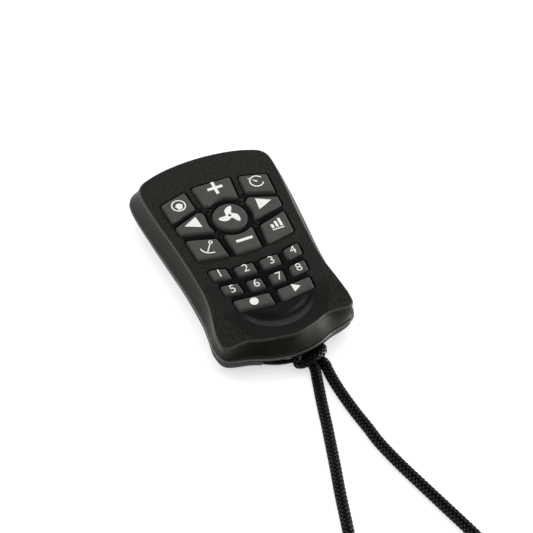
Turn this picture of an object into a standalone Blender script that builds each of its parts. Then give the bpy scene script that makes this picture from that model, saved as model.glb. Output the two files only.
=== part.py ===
"""Hand controller for a bow-mounted electric boat motor, with a lanyard.

Two moulded shells clamp a round bead between them and hold a rubber keypad of
nineteen keys, a circuit board and two AAA cells.  A closed cord is hitched to
a bar across a pocket in the lower end, and its spare length lies in a coil.

Lengths are in millimetres until they become vertices.  The controller lies on
its back: +Z points out of its face and +Y towards its arched upper end.
"""
import math

import bmesh
import bpy
from mathutils import Matrix, Vector

MM = 0.001

# ------------------------------------------------------------ driving sizes
HALF_LENGTH = 54.6            # half of the controller's length, along Y
RIM_REACH = 33.0              # typical half width of the rim, along X
KEYPAD_Y = 15.5               # centre of the round key
TOUCH_GAP = 0.3               # clearance between neighbouring pieces

KEY_TOP = 22.0                # overall height, at the key tops
FACE_Z = 20.9                 # the face between the keys
FACE_WALL = 1.8
FACE_DROP = 1.6               # how far the face falls at its lower end
DROP_START = -28.0            # where the face starts to fall
INNER_DROP_START = -35.5      # its underside falls later, clear of the key skirts
DROP_END = -50.0
FRONT_EDGE_Z = 12.9           # lower edge of the front shell
BEAD_Z = (11.0, 12.6)
REAR_EDGE_Z = 10.7            # upper edge of the rear shell
TONGUE_Z = 12.2               # top of the rear shell's inner tongue
TONGUE = (2.8, 4.2)           # insets of the tongue's two sides
CAVITY_INSET = 4.3            # the rear shell's cavity, at its top
PARTING_FALL = 1.4            # how far the parting line falls at the upper end
SIDE_WALL = 2.7
FRONT_FOOT = [(0.9, 0.0), (0.9, 0.7), (0.3, 0.9)]     # inset, height over the lower edge
FACE_EDGE = [(-0.4, -1.0), (0.0, -0.3), (0.7, 0.0)]   # inset, height over the face
FACE_RINGS = (8.0, 18.0, 28.0)                        # insets of the face's inner rings
BEAD_SECTION = [(2.4, 0.0), (0.45, 0.0), (0.0, 0.3), (0.0, 0.7), (0.45, 1.0), (2.4, 1.0)]

# Right-hand halves of the outlines, from the upper end to the lower end.
RIM_HALF = [(0, 54.6), (14, 53.9), (25, 52), (32, 49), (34.4, 42.5), (33.8, 26),
            (32.2, 8), (30.7, -8), (30.1, -22), (30, -33), (30.3, -40.5),
            (27.9, -47.2), (17.8, -50.1), (9.5, -53.2), (0, -54.6)]
FACE_HALF = [(0, 52.4), (12.5, 51.5), (22.5, 49.2), (28.8, 45.9), (30.7, 39.5), (29.9, 25),
             (28.2, 8), (27, -10), (26.9, -20), (28.2, -32), (29.1, -40.5),
             (27.4, -45.1), (17.5, -45.6), (9.5, -48.6), (0, -50.6)]
BASE_SCALE = (0.66, 0.80)     # the flat back, as a share of the rim
BASE_SPREAD = (0.16, -35.0)   # the back grows wider by this share down to this y
BACK_PROFILE = [(1.0, 0.0), (0.72, 0.5), (0.52, 1.6), (0.34, 3.4), (0.19, 5.6), (0.1, 7.8)]
HOLLOW_PROFILE = [(0.95, 1.8), (0.7, 3.4), (0.52, 5.4), (0.42, 8.0)]
OUTLINE_STEPS = 2             # points for each stretch of an outline
CORNER_STEPS = 2              # points for each rounded corner, less one
SHARP_ANGLE = 35              # edges sharper than this stay crisp

# ------------------------------------------------------------ keys
ROUND_KEY_D = 15.0
ROUND_CLEAR = 10.2            # the keys round it are cut back to this radius
KEY_RADIUS = 0.8
KEY_BEVEL = 0.4
KEY_FLARE = 0.25              # a key is this much wider at the face
SKIRT_LIP = 0.6
SKIRT_Z = (17.8, 18.7)
NECK_INSET = 0.5
NECK_Z = 16.0
WEB_Z = (15.9, 16.8)
WEB_HALF = [(0, 41), (13, 40.6), (20.5, 37.2), (26.6, 34.5), (26.2, 14), (24.6, 2),
            (22.5, -13), (19.4, -30), (17.6, -35.2), (0, -37.4)]

# Corners of the right-hand keys about the round key's centre.
SIDE_KEYS = {
    ("key_heading", "key_cruise"): [(24.8, 16.8), (12.6, 20.0), (11.8, 9.9), (24.0, 5.5)],
    ("key_left", "key_right"): [(23.8, 3.0), (11.8, 7.4), (9.8, 6.0), (9.3, -5.3), (23.4, -1.9)],
    ("key_anchor", "key_manual"): [(22.7, -5.2), (10.0, -8.8), (8.8, -19.5), (21.9, -17.0)],
    ("key_1", "key_4"): [(20.5, -23.4), (13.1, -25.0), (12.7, -30.6), (20.0, -29.4)],
    ("key_2", "key_3"): [(10.0, -25.8), (1.5, -26.2), (1.5, -31.6), (9.6, -31.3)],
    ("key_5", "key_8"): [(19.1, -32.8), (11.6, -33.9), (11.1, -39.3), (18.6, -38.2)],
    ("key_6", "key_7"): [(8.3, -34.4), (1.7, -34.7), (1.6, -40.3), (7.7, -40.1)],
    ("key_record", "key_play"): [(17.3, -41.8), (1.7, -43.2), (1.7, -49.2), (16.7, -47.4)],
}
MIDDLE_KEYS = {
    "key_speed_up": [(-9.0, 21.1), (-7.8, 8.9), (7.8, 8.9), (9.0, 21.1)],
    "key_speed_down": [(-6.5, -8.2), (-5.8, -19.9), (5.8, -19.9), (6.5, -8.2)],
}

# ------------------------------------------------------------ inside
BOARD_Z = (13.0, 14.2)
DOME_FILM_Z = (14.5, 14.8)
DOME_HEIGHT = 0.3
DOME_R = (2.4, 1.2)           # a dome's foot and its flat top
CASE_SCREWS = [(-24, 40.5), (24, 40.5), (-22.2, -37), (22.2, -37)]
BOSS_D = 6.4
BOSS_Z = (9.4, 19.25)         # foot and root of the front shell's screw bosses
BOSS_HOLE = 7.6
SCREW_HOLE_D = 3.0
WELL_D = 5.6
WELL_Z = 7.0
COLUMN_D = 8.8                # the rear shell's screw columns
CASE_SCREW = [(0, 9.8), (1.2, 9.8), (1.2, 0.0), (2.4, 0.0), (2.5, -1.5), (1.9, -1.9), (0, -1.9)]
CONTROLLER_CHIP = ((-13, 28.5), (-4, 37.5), 0.9)      # two corners and thickness
RADIO_MODULE = ((3, 29), (15, 39), 1.8)
ANTENNA = ((-7, 43), (7, 46), 1.5)

CELL_D = 10.5                 # AAA cell
CELL_LENGTH = 44.5
CELL_NUB = (3.8, 0.8)
CELL_X = 5.5
CELL_Z = 7.4
SPRING_WIRE_D = 0.6
SPRING_TURNS = 2.5
SPRING_R = (3.9, 2.3)         # the spring narrows towards the cell
CHAMBER = (11.3, 25.3)        # half sizes of the battery chamber
CHAMBER_WALL = 1.3
DOOR = (13.6, 34.0)
DOOR_THICK = 1.8
DOOR_SCREW_Y = 30.8
DOOR_SCREW = [(0, 6.2), (1.0, 6.2), (1.0, 0.0), (2.2, 0.0), (2.2, -0.5), (1.9, -0.7), (0, -0.7)]
DOOR_SCREW_Z = 0.8            # underside of the screw's head
DOOR_HOLE_D = 2.6
DOOR_COUNTERBORE = (5.0, 1.1)
DOOR_BOSS = (6.0, 8.5)
LEDGE = (1.8, 4.7)            # the seat round the door: width and top
GASKET_Z = (2.1, 2.9)
GASKET_WIDTH = 1.7

# ------------------------------------------------------------ lanyard
POCKET = (14.3, -43.6, 9.9)   # half width, back wall and roof of the pocket
POCKET_WALL = 1.5
BAR_D = 2.0
BAR_Z = 5.3
BAR_CREST_Y = -52.2
BAR_BOW = 0.023               # the bar bows outwards as y = crest + bow * x * x
BAR_END = 16.6
CORD_D = 4.7
HITCH_X = (-1.8, 13.2)
HITCH_HALF = (5.4, 4.2)       # half its depth, out from the bar, and half its height
HITCH_REACH = 1.2             # it sits this far outside the bar's centre
COIL_CENTRE = (5.0, -183.0)
COIL_MEAN_R = 26.0
COIL_HALF_WIDTH = 4.8
COIL_HEIGHT = 9.2
CORD_ROUTE_LEFT = [(6.0, -58.7, 2.7), (5, -62, 2.45), (3.5, -67, 2.4), (2, -72, 2.4),
                   (0.2, -78.4, 2.4), (-1.6, -85, 2.4), (-3.8, -92.5, 2.4), (-6.9, -103, 2.4),
                   (-10.3, -114, 2.4), (-13.7, -126, 2.4), (-16.8, -137, 2.4), (-19, -146, 2.5),
                   (-20.2, -152.5, 4.2), (-20.8, -157, 6), (-21, -161.8, 6.8)]
CORD_ROUTE_RIGHT = [(11.7, -57.2, 2.7), (11.3, -63, 2.4), (11, -70, 2.4), (11.5, -78, 2.4),
                    (12.2, -85, 2.4), (13.2, -91.5, 2.4), (14.3, -100, 2.4), (17.2, -112, 2.4),
                    (20.8, -124, 2.4), (24.6, -136.5, 2.4), (28.4, -149, 2.4), (30.9, -158, 2.4),
                    (32.3, -164.4, 2.4)]
TUBE_STEP = 2.4               # spacing of a tube's points, in cord diameters
TIE_WIDTH = 8.0
TIE_THICK = 0.8

# ------------------------------------------------------------ materials
FINISHES = {                  # colour, roughness, metallic
    "shell_plastic": ((0.030, 0.031, 0.029), 0.55, 0.0),
    "bead_rubber": ((0.060, 0.058, 0.053), 0.45, 0.0),
    "key_rubber": ((0.085, 0.087, 0.085), 0.70, 0.0),
    "web_rubber": ((0.030, 0.030, 0.030), 0.80, 0.0),
    "board": ((0.010, 0.090, 0.035), 0.45, 0.0),
    "film": ((0.550, 0.560, 0.570), 0.30, 0.0),
    "chip": ((0.015, 0.015, 0.016), 0.40, 0.0),
    "cell_wrap": ((0.060, 0.110, 0.230), 0.35, 0.0),
    "steel": ((0.550, 0.550, 0.560), 0.30, 1.0),
    "bar_plastic": ((0.006, 0.006, 0.006), 0.35, 0.0),
    "cord": ((0.012, 0.012, 0.012), 0.85, 0.0),
    "tie": ((0.020, 0.020, 0.020), 0.90, 0.0),
}


# ------------------------------------------------------------ scene helpers
def clear_scene():
    for obj in list(bpy.data.objects):
        bpy.data.objects.remove(obj, do_unlink=True)


def new_collection(name):
    collection = bpy.data.collections.new(name)
    bpy.context.scene.collection.children.link(collection)
    return collection


def make_material(name):
    colour, roughness, metallic = FINISHES[name]
    material = bpy.data.materials.new(name)
    material.use_nodes = True
    shader = material.node_tree.nodes["Principled BSDF"]
    shader.inputs["Base Color"].default_value = (*colour, 1.0)
    shader.inputs["Roughness"].default_value = roughness
    shader.inputs["Metallic"].default_value = metallic
    material.diffuse_color = (*colour, 1.0)
    return material


clear_scene()
PARTS = new_collection("hand_controller")
CUTTERS = new_collection("cutters")
MATERIALS = {name: make_material(name) for name in FINISHES}


def add_object(name, data, finish=None):
    """Link a piece to the model, or a cutter (which has no finish)."""
    obj = bpy.data.objects.new(name, data)
    if finish is None:
        CUTTERS.objects.link(obj)
        obj.hide_render = True
        obj.display_type = "WIRE"
    else:
        PARTS.objects.link(obj)
        data.materials.append(MATERIALS[finish])
    return obj


def finish_mesh(name, bm, finish=None):
    """Turn the faces outwards and make the object."""
    if bm.calc_volume(signed=True) < 0:
        bmesh.ops.reverse_faces(bm, faces=bm.faces[:])
    mesh = bpy.data.meshes.new(name)
    bm.to_mesh(mesh)
    bm.free()
    mesh.shade_smooth()
    mesh.set_sharp_from_angle(angle=math.radians(SHARP_ANGLE))
    return add_object(name, mesh, finish)


def boolean(obj, cutter, operation="DIFFERENCE"):
    modifier = obj.modifiers.new(operation.lower(), "BOOLEAN")
    modifier.operation = operation
    modifier.object = cutter
    modifier.solver = "EXACT"


# ------------------------------------------------------------ outlines
def mirrored(half):
    """The whole outline from its right-hand half, both ends on the Y axis."""
    return half + [(-x, y) for x, y in reversed(half[1:-1])]


def smoothed(points, steps=OUTLINE_STEPS):
    """A closed Catmull-Rom curve through the points."""
    result = []
    count = len(points)
    for index in range(count):
        p0, p1, p2, p3 = (Vector(points[(index + k) % count]) for k in (-1, 0, 1, 2))
        for step in range(steps):
            t = step / steps
            result.append(0.5 * (2 * p1 + (p2 - p0) * t + (2 * p0 - 5 * p1 + 4 * p2 - p3) * t ** 2
                                 + (3 * p1 - p0 - 3 * p2 + p3) * t ** 3))
    return result


def shrink(outline, inset):
    """A body outline moved inwards by about the inset."""
    return [Vector((p.x * (1 - inset / RIM_REACH), p.y * (1 - inset / HALF_LENGTH))) for p in outline]


def between(first, second, share):
    return [a.lerp(b, share) for a, b in zip(first, second)]


def at_height(outline, z):
    """Points in space; z is a number or a function of y."""
    return [(p[0], p[1], z(p[1]) if callable(z) else z) for p in outline]


def fallen(z, start=DROP_START):
    """A height that follows the face's fall at the lower end."""
    def height(y):
        share = min(max((start - y) / (start - DROP_END), 0.0), 1.0)
        return z - FACE_DROP * share * share * (3 - 2 * share)
    return height


def parted(z):
    """A height that follows the parting line's fall towards the upper end."""
    def height(y):
        share = min(max(y / HALF_LENGTH, 0.0), 1.0)
        return z - PARTING_FALL * share * share * (3 - 2 * share)
    return height


def rounded(corners, radius, steps=CORNER_STEPS):
    """A polygon with its corners turned into arcs."""
    result = []
    count = len(corners)
    for index in range(count):
        before, corner, after = (Vector(corners[(index + k) % count]) for k in (-1, 0, 1))
        u = (before - corner).normalized()
        v = (after - corner).normalized()
        half_angle = u.angle(v) / 2
        run = min(radius / math.tan(half_angle), 0.45 * min((before - corner).length,
                                                           (after - corner).length))
        start = corner + u * run
        end = corner + v * run
        for step in range(steps + 1):
            t = step / steps
            result.append(start * (1 - t) ** 2 + corner * 2 * t * (1 - t) + end * t ** 2)
    return result


def anticlockwise(points):
    area = sum(a.x * b.y - b.x * a.y for a, b in zip(points, points[1:] + points[:1]))
    return list(points) if area > 0 else list(reversed(points))


def grown(points, amount):
    """An anticlockwise outline moved outwards by the amount."""
    count = len(points)
    result = []
    for index in range(count):
        before, point, after = (points[(index + k) % count] for k in (-1, 0, 1))
        n1 = Vector((point.y - before.y, before.x - point.x)).normalized()
        n2 = Vector((after.y - point.y, point.x - after.x)).normalized()
        middle = (n1 + n2).normalized()
        result.append(point + middle * amount / max(middle.dot(n1), 0.6))
    return result


def clear_of_round_key(points, pieces=5):
    """Cut an outline back to the circle round the round key."""
    result = []
    for index, point in enumerate(points):
        following = points[(index + 1) % len(points)]
        result.append(point)
        middle = (point + following) / 2
        if middle.length < ROUND_CLEAR + 0.4 and (following - point).length > 4:
            result.extend(point.lerp(following, k / pieces) for k in range(1, pieces))
    return [p * max(1.0, ROUND_CLEAR / p.length) for p in result]


def circle(radius, count=24, centre=(0.0, 0.0)):
    return [Vector((centre[0] + radius * math.cos(2 * math.pi * k / count),
                    centre[1] + radius * math.sin(2 * math.pi * k / count))) for k in range(count)]


def rectangle(half_x, half_y, radius, centre_y=0.0):
    corners = [(half_x, half_y), (-half_x, half_y), (-half_x, -half_y), (half_x, -half_y)]
    return [p + Vector((0, centre_y)) for p in rounded(corners, radius)]


# ------------------------------------------------------------ solids
def loft(name, rings, finish=None, closed=False):
    """Skin rings of equal length; closed joins the last ring to the first."""
    bm = bmesh.new()
    loops = [[bm.verts.new(Vector(p) * MM) for p in ring] for ring in rings]
    count = len(loops[0])
    pairs = list(zip(loops, loops[1:]))
    if closed:
        pairs.append((loops[-1], loops[0]))
    for low, high in pairs:
        for k in range(count):
            bm.faces.new((low[k], low[(k + 1) % count], high[(k + 1) % count], high[k]))
    if not closed:
        bm.faces.new(list(reversed(loops[0])))
        bm.faces.new(loops[-1])
    return finish_mesh(name, bm, finish)


def slab(name, outline, low, high, finish=None):
    return loft(name, [at_height(outline, low), at_height(outline, high)], finish)


def slab_group(name, outlines, low, high):
    """One cutter made of several slabs that don't touch."""
    bm = bmesh.new()
    for outline in outlines:
        bottom = [bm.verts.new(Vector((p.x, p.y, low)) * MM) for p in outline]
        top = [bm.verts.new(Vector((p.x, p.y, high)) * MM) for p in outline]
        count = len(outline)
        for k in range(count):
            bm.faces.new((bottom[k], bottom[(k + 1) % count], top[(k + 1) % count], top[k]))
        bm.faces.new(list(reversed(bottom)))
        bm.faces.new(top)
    return finish_mesh(name, bm)


def block(name, low, high, finish=None):
    """A box between two corners."""
    bm = bmesh.new()
    low = Vector(low) * MM
    high = Vector(high) * MM
    place = Matrix.Translation((low + high) / 2) @ Matrix.Diagonal((*(high - low), 1.0))
    bmesh.ops.create_cube(bm, size=1.0, matrix=place)
    return finish_mesh(name, bm, finish)


def turned(name, profile, place, finish, steps=24, tilt=None):
    """A profile of (radius, height), outer side downwards, turned about Z."""
    mesh = bpy.data.meshes.new(name)
    points = [(r * MM, 0.0, z * MM) for r, z in profile]
    edges = [(k, k + 1) for k in range(len(points) - 1)]
    if profile[0][0] > 0:
        edges.append((len(points) - 1, 0))
    mesh.from_pydata(points, edges, [])
    obj = add_object(name, mesh, finish)
    obj.location = Vector(place) * MM
    if tilt:
        obj.rotation_euler = tilt
    screw = obj.modifiers.new("turn", "SCREW")
    screw.steps = steps
    screw.render_steps = steps
    screw.use_merge_vertices = True
    screw.merge_threshold = 0.00001
    screw.use_smooth_shade = True
    return obj


def tube(name, points, diameter, finish, resolution=2):
    """A round bar or cord along the points."""
    curve = bpy.data.curves.new(name, "CURVE")
    curve.dimensions = "3D"
    spline = curve.splines.new("POLY")
    spline.points.add(len(points) - 1)
    for target, point in zip(spline.points, points):
        target.co = (*(Vector(point) * MM), 1.0)
    curve.bevel_depth = diameter / 2 * MM
    curve.bevel_resolution = resolution
    curve.use_fill_caps = True
    return add_object(name, curve, finish)


def tube_cutter(name, points, diameter):
    """The same tube as a closed mesh, for a Boolean."""
    source = tube(name + "_curve", points, diameter, None)
    graph = bpy.context.evaluated_depsgraph_get()
    mesh = bpy.data.meshes.new_from_object(source.evaluated_get(graph))
    bm = bmesh.new()
    bm.from_mesh(mesh)
    bmesh.ops.remove_doubles(bm, verts=bm.verts[:], dist=0.00001)
    obj = finish_mesh(name, bm)
    obj.matrix_world = source.matrix_world
    bpy.data.objects.remove(source, do_unlink=True)
    return obj


def along(points, spacing):
    """Evenly spaced points on a smooth curve through the route's points."""
    knots = [Vector(p) for p in points]
    knots = [2 * knots[0] - knots[1]] + knots + [2 * knots[-1] - knots[-2]]
    dense = []
    for p0, p1, p2, p3 in zip(knots, knots[1:], knots[2:], knots[3:]):
        for step in range(12):
            t = step / 12
            dense.append(0.5 * (2 * p1 + (p2 - p0) * t + (2 * p0 - 5 * p1 + 4 * p2 - p3) * t ** 2
                                + (3 * p1 - p0 - 3 * p2 + p3) * t ** 3))
    dense.append(knots[-2])
    total = sum((b - a).length for a, b in zip(dense, dense[1:]))
    count = round(total / spacing)
    result = [dense[0]]
    travelled = 0.0
    for a, b in zip(dense, dense[1:]):
        step = (b - a).length
        while len(result) < count and travelled + step >= len(result) * total / count:
            share = (len(result) * total / count - travelled) / step
            result.append(a.lerp(b, share))
        travelled += step
    return result + [dense[-1]]


# ------------------------------------------------------------ shared shapes
def base_outline():
    """The flat back's edge: the rim drawn in, least at the lower end."""
    spread, full_at = BASE_SPREAD
    outline = []
    for p in RIM:
        share = min(max(p.y / full_at, 0.0), 1.0)
        outline.append(Vector((p.x * (BASE_SCALE[0] + spread * share), p.y * BASE_SCALE[1])))
    return outline


RIM = smoothed(mirrored(RIM_HALF))
FACE = smoothed(mirrored(FACE_HALF))
BASE = base_outline()
WEB = [Vector(p) for p in mirrored(WEB_HALF)]


def key_outlines():
    """Every key's top outline, anticlockwise, in the controller's frame."""
    shapes = {"key_prop": circle(ROUND_KEY_D / 2)}
    for name, corners in MIDDLE_KEYS.items():
        shapes[name] = clear_of_round_key(rounded(corners, KEY_RADIUS))
    for (left, right), corners in SIDE_KEYS.items():
        shapes[right] = clear_of_round_key(rounded(corners, KEY_RADIUS))
        shapes[left] = [Vector((-p.x, p.y)) for p in shapes[right]]
    shift = Vector((0, KEYPAD_Y))
    return {name: anticlockwise([p + shift for p in shape]) for name, shape in shapes.items()}


KEYS = key_outlines()


def bar_point(x):
    return Vector((x, BAR_CREST_Y + BAR_BOW * x * x, BAR_Z))


def bar_points(reach):
    return [bar_point(-reach + 2 * reach * k / 12) for k in range(13)]


# ------------------------------------------------------------ shells
def front_shell():
    rings = [at_height(shrink(RIM, inset), parted(FRONT_EDGE_Z + z)) for inset, z in FRONT_FOOT]
    rings += [at_height(shrink(FACE, inset), fallen(FACE_Z + z)) for inset, z in FACE_EDGE]
    rings += [at_height(shrink(FACE, inset), fallen(FACE_Z)) for inset in FACE_RINGS]
    inner = [at_height(shrink(RIM, SIDE_WALL), parted(FRONT_EDGE_Z))]
    for inset in (FACE_WALL, *FACE_RINGS):
        inner.append(at_height(shrink(FACE, inset), fallen(FACE_Z - FACE_WALL, INNER_DROP_START)))
    shell = loft("front_shell", list(reversed(inner)) + rings, "shell_plastic")
    bosses = slab_group("front_bosses", [circle(BOSS_D / 2, 16, c) for c in CASE_SCREWS],
                        *BOSS_Z)
    holes = slab_group("front_boss_holes", [circle(SCREW_HOLE_D / 2, 12, c) for c in CASE_SCREWS],
                       BOSS_Z[0] - 1.0, BOSS_Z[0] + BOSS_HOLE)
    openings = slab_group("key_openings", [grown(o, KEY_FLARE + TOUCH_GAP) for o in KEYS.values()],
                          FRONT_EDGE_Z, KEY_TOP + 2)
    boolean(shell, bosses, "UNION")
    boolean(shell, holes)
    boolean(shell, openings)


def seal_bead():
    """A ring whose section runs from its inner lower corner round its outer side."""
    low, high = BEAD_Z
    rings = [at_height(shrink(RIM, inset), parted(low + (high - low) * share))
             for inset, share in BEAD_SECTION]
    loft("seal_bead", rings, "bead_rubber", closed=True)


def rear_shell():
    """Outer form, less a cavity that leaves the walls, bosses and pocket."""
    rings = [at_height(between(RIM, BASE, share), z) for share, z in BACK_PROFILE]
    rings.append(at_height(shrink(RIM, 0.35), parted(REAR_EDGE_Z)))
    rings.append(at_height(shrink(RIM, TONGUE[0]), parted(REAR_EDGE_Z)))
    rings.extend(at_height(shrink(RIM, inset), parted(TONGUE_Z)) for inset in TONGUE)
    rings.append(at_height(shrink(RIM, TONGUE[1] + 1), TONGUE_Z - PARTING_FALL))
    shell = loft("rear_shell", rings, "shell_plastic")

    rings = [at_height(between(RIM, BASE, share), z) for share, z in HOLLOW_PROFILE]
    rings.append(at_height(shrink(RIM, CAVITY_INSET), TONGUE_Z + 1))
    cavity = loft("rear_cavity", rings)
    half_x, half_y = CHAMBER
    ledge = rectangle(DOOR[0] + LEDGE[0], DOOR[1] + LEDGE[0], 4.0)
    boolean(cavity, slab("keep_ledge", ledge, -1, LEDGE[1]))
    chamber = rectangle(half_x + CHAMBER_WALL, half_y + CHAMBER_WALL, 1.5)
    boolean(cavity, slab("keep_chamber", chamber, -2, TONGUE_Z + 2))
    columns = [circle(COLUMN_D / 2, 16, c) for c in CASE_SCREWS]
    boolean(cavity, slab_group("keep_columns", columns, -1, WELL_Z + 2))
    bosses = [circle(DOOR_BOSS[0] / 2, 16, (0, y)) for y in (-DOOR_SCREW_Y, DOOR_SCREW_Y)]
    boolean(cavity, slab_group("keep_door_bosses", bosses, -1, DOOR_BOSS[1]))
    pocket_x, pocket_back, pocket_roof = POCKET
    walls = (pocket_x + 4.2, pocket_back + POCKET_WALL, TONGUE_Z + 3)
    boolean(cavity, block("keep_pocket", (-walls[0], -70, -3), walls))
    boolean(shell, cavity)

    boolean(shell, block("cut_pocket", (-pocket_x, -70, -1), (pocket_x, pocket_back, pocket_roof)))
    boolean(shell, tube_cutter("cut_bar", bar_points(BAR_END + TOUCH_GAP), BAR_D + 2 * TOUCH_GAP))
    seat = rectangle(DOOR[0] + TOUCH_GAP, DOOR[1] + TOUCH_GAP, 3.3)
    boolean(shell, slab("cut_door_seat", seat, -1, DOOR_THICK + TOUCH_GAP))
    groove = rectangle(half_x + GASKET_WIDTH + 0.6, half_y + GASKET_WIDTH + 0.6, 2.0)
    boolean(shell, slab("cut_gasket_seat", groove, -2, GASKET_Z[1] + TOUCH_GAP))
    boolean(shell, slab("cut_chamber", rectangle(half_x, half_y, 0.8), -3, TONGUE_Z + 1))
    wells = [circle(WELL_D / 2, 16, c) for c in CASE_SCREWS]
    boolean(shell, slab_group("cut_wells", wells, -1, WELL_Z))
    holes = [circle(SCREW_HOLE_D / 2, 12, c) for c in CASE_SCREWS]
    boolean(shell, slab_group("cut_screw_holes", holes, WELL_Z - 1, WELL_Z + 3))
    pilots = [circle(DOOR_HOLE_D / 2, 12, (0, y)) for y in (-DOOR_SCREW_Y, DOOR_SCREW_Y)]
    boolean(shell, slab_group("cut_door_pilots", pilots, 0, DOOR_BOSS[1] - 1))


# ------------------------------------------------------------ keypad
def keypad():
    """Nineteen keys, each with a retaining skirt and a neck through the web."""
    for name, top in KEYS.items():
        section = [(-NECK_INSET, NECK_Z), (-NECK_INSET, SKIRT_Z[0]),
                   (KEY_FLARE + SKIRT_LIP, SKIRT_Z[0]), (KEY_FLARE + SKIRT_LIP, SKIRT_Z[1]),
                   (KEY_FLARE, SKIRT_Z[1]), (0.0, KEY_TOP - KEY_BEVEL), (-KEY_BEVEL, KEY_TOP)]
        middle = sum(top, Vector((0, 0))) / len(top)
        local = [p - middle for p in top]
        rings = [at_height(grown(local, amount), z - KEY_TOP) for amount, z in section]
        key = loft(name, rings, "key_rubber")
        key.location = Vector((middle.x, middle.y, KEY_TOP)) * MM
    web = slab("keypad_web", WEB, *WEB_Z, "web_rubber")
    necks = [grown(o, TOUCH_GAP - NECK_INSET) for o in KEYS.values()]
    boolean(web, slab_group("neck_openings", necks, WEB_Z[0] - 1, WEB_Z[1] + 1))


def dome_sheet():
    film = slab("dome_sheet", shrink(WEB, 0.8), *DOME_FILM_Z, "film")
    for name, outline in KEYS.items():
        centre = sum(outline, Vector((0, 0))) / len(outline)
        foot, top = DOME_R
        levels = [(foot, DOME_FILM_Z[0] + 0.1), (foot, DOME_FILM_Z[1]), (top, DOME_FILM_Z[1] + DOME_HEIGHT)]
        rings = [at_height(circle(radius, 10, centre), z) for radius, z in levels]
        boolean(film, loft("dome_" + name, rings), "UNION")


# ------------------------------------------------------------ electronics
def electronics():
    board = slab("circuit_board", shrink(FACE, 2.4), *BOARD_Z, "board")
    notches = [circle(BOSS_D / 2 + 0.5, 16, c) for c in CASE_SCREWS]
    boolean(board, slab_group("board_notches", notches, BOARD_Z[0] - 1, BOARD_Z[1] + 1))
    under = BOARD_Z[0] - TOUCH_GAP
    for name, finish, (near, far, thick) in (("controller_chip", "chip", CONTROLLER_CHIP),
                                             ("radio_module", "steel", RADIO_MODULE),
                                             ("antenna", "cell_wrap", ANTENNA)):
        block(name, (*near, under - thick), (*far, under), finish)


def cells():
    radius = CELL_D / 2
    nub_d, nub_h = CELL_NUB
    barrel = CELL_LENGTH - nub_h
    profile = [(0, CELL_LENGTH), (nub_d / 2, CELL_LENGTH), (nub_d / 2, barrel), (radius - 0.5, barrel),
               (radius, barrel - 0.5), (radius, 0.5), (radius - 0.5, 0), (0, 0)]
    plus_end = CHAMBER[1] - 1.0
    for number, facing in ((1, 1), (2, -1)):
        x = -CELL_X * facing
        turned(f"battery_{number}", profile, (x, facing * (plus_end - CELL_LENGTH), CELL_Z),
               "cell_wrap", tilt=(-facing * math.pi / 2, 0, 0))
        ys = sorted((facing * (plus_end + TOUCH_GAP), facing * (plus_end + 0.7)))
        block(f"battery_contact_{number}", (x - 4, ys[0], CELL_Z - 4), (x + 4, ys[1], CELL_Z + 4), "steel")
        foot = CHAMBER[1] - TOUCH_GAP - SPRING_WIRE_D / 2
        tip = CELL_LENGTH - plus_end + TOUCH_GAP + SPRING_WIRE_D / 2
        wire = []
        for k in range(25):
            share = k / 24
            angle = 2 * math.pi * SPRING_TURNS * share
            coil_r = SPRING_R[0] + (SPRING_R[1] - SPRING_R[0]) * share
            y = -facing * (foot + (tip - foot) * share)
            wire.append((x + coil_r * math.cos(angle), y, CELL_Z + coil_r * math.sin(angle)))
        tube(f"battery_spring_{number}", wire, SPRING_WIRE_D, "steel", 1)


def battery_door():
    door = slab("battery_door", rectangle(*DOOR, 3.0), 0, DOOR_THICK, "shell_plastic")
    places = [(0, -DOOR_SCREW_Y), (0, DOOR_SCREW_Y)]
    boolean(door, slab_group("door_holes", [circle(DOOR_HOLE_D / 2, 12, c) for c in places], -1, 4))
    bore_d, bore_depth = DOOR_COUNTERBORE
    bores = [circle(bore_d / 2, 16, c) for c in places]
    boolean(door, slab_group("door_counterbores", bores, -1, bore_depth))
    low, high = GASKET_Z
    outer = rectangle(CHAMBER[0] + GASKET_WIDTH + 0.3, CHAMBER[1] + GASKET_WIDTH + 0.3, 1.8)
    inner = rectangle(CHAMBER[0] + 0.3, CHAMBER[1] + 0.3, 0.8)
    loft("battery_door_seal", [at_height(outer, low), at_height(outer, high),
                               at_height(inner, high), at_height(inner, low)], "web_rubber", closed=True)


def screws():
    """Screws stand head down, in through the back."""
    for number, (x, y) in enumerate(CASE_SCREWS, 1):
        turned(f"case_screw_{number}", CASE_SCREW, (x, y, WELL_Z - TOUCH_GAP), "steel", 16)
    for number, y in ((1, -DOOR_SCREW_Y), (2, DOOR_SCREW_Y)):
        turned(f"battery_door_screw_{number}", DOOR_SCREW, (0, y, DOOR_SCREW_Z), "steel", 16)


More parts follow.
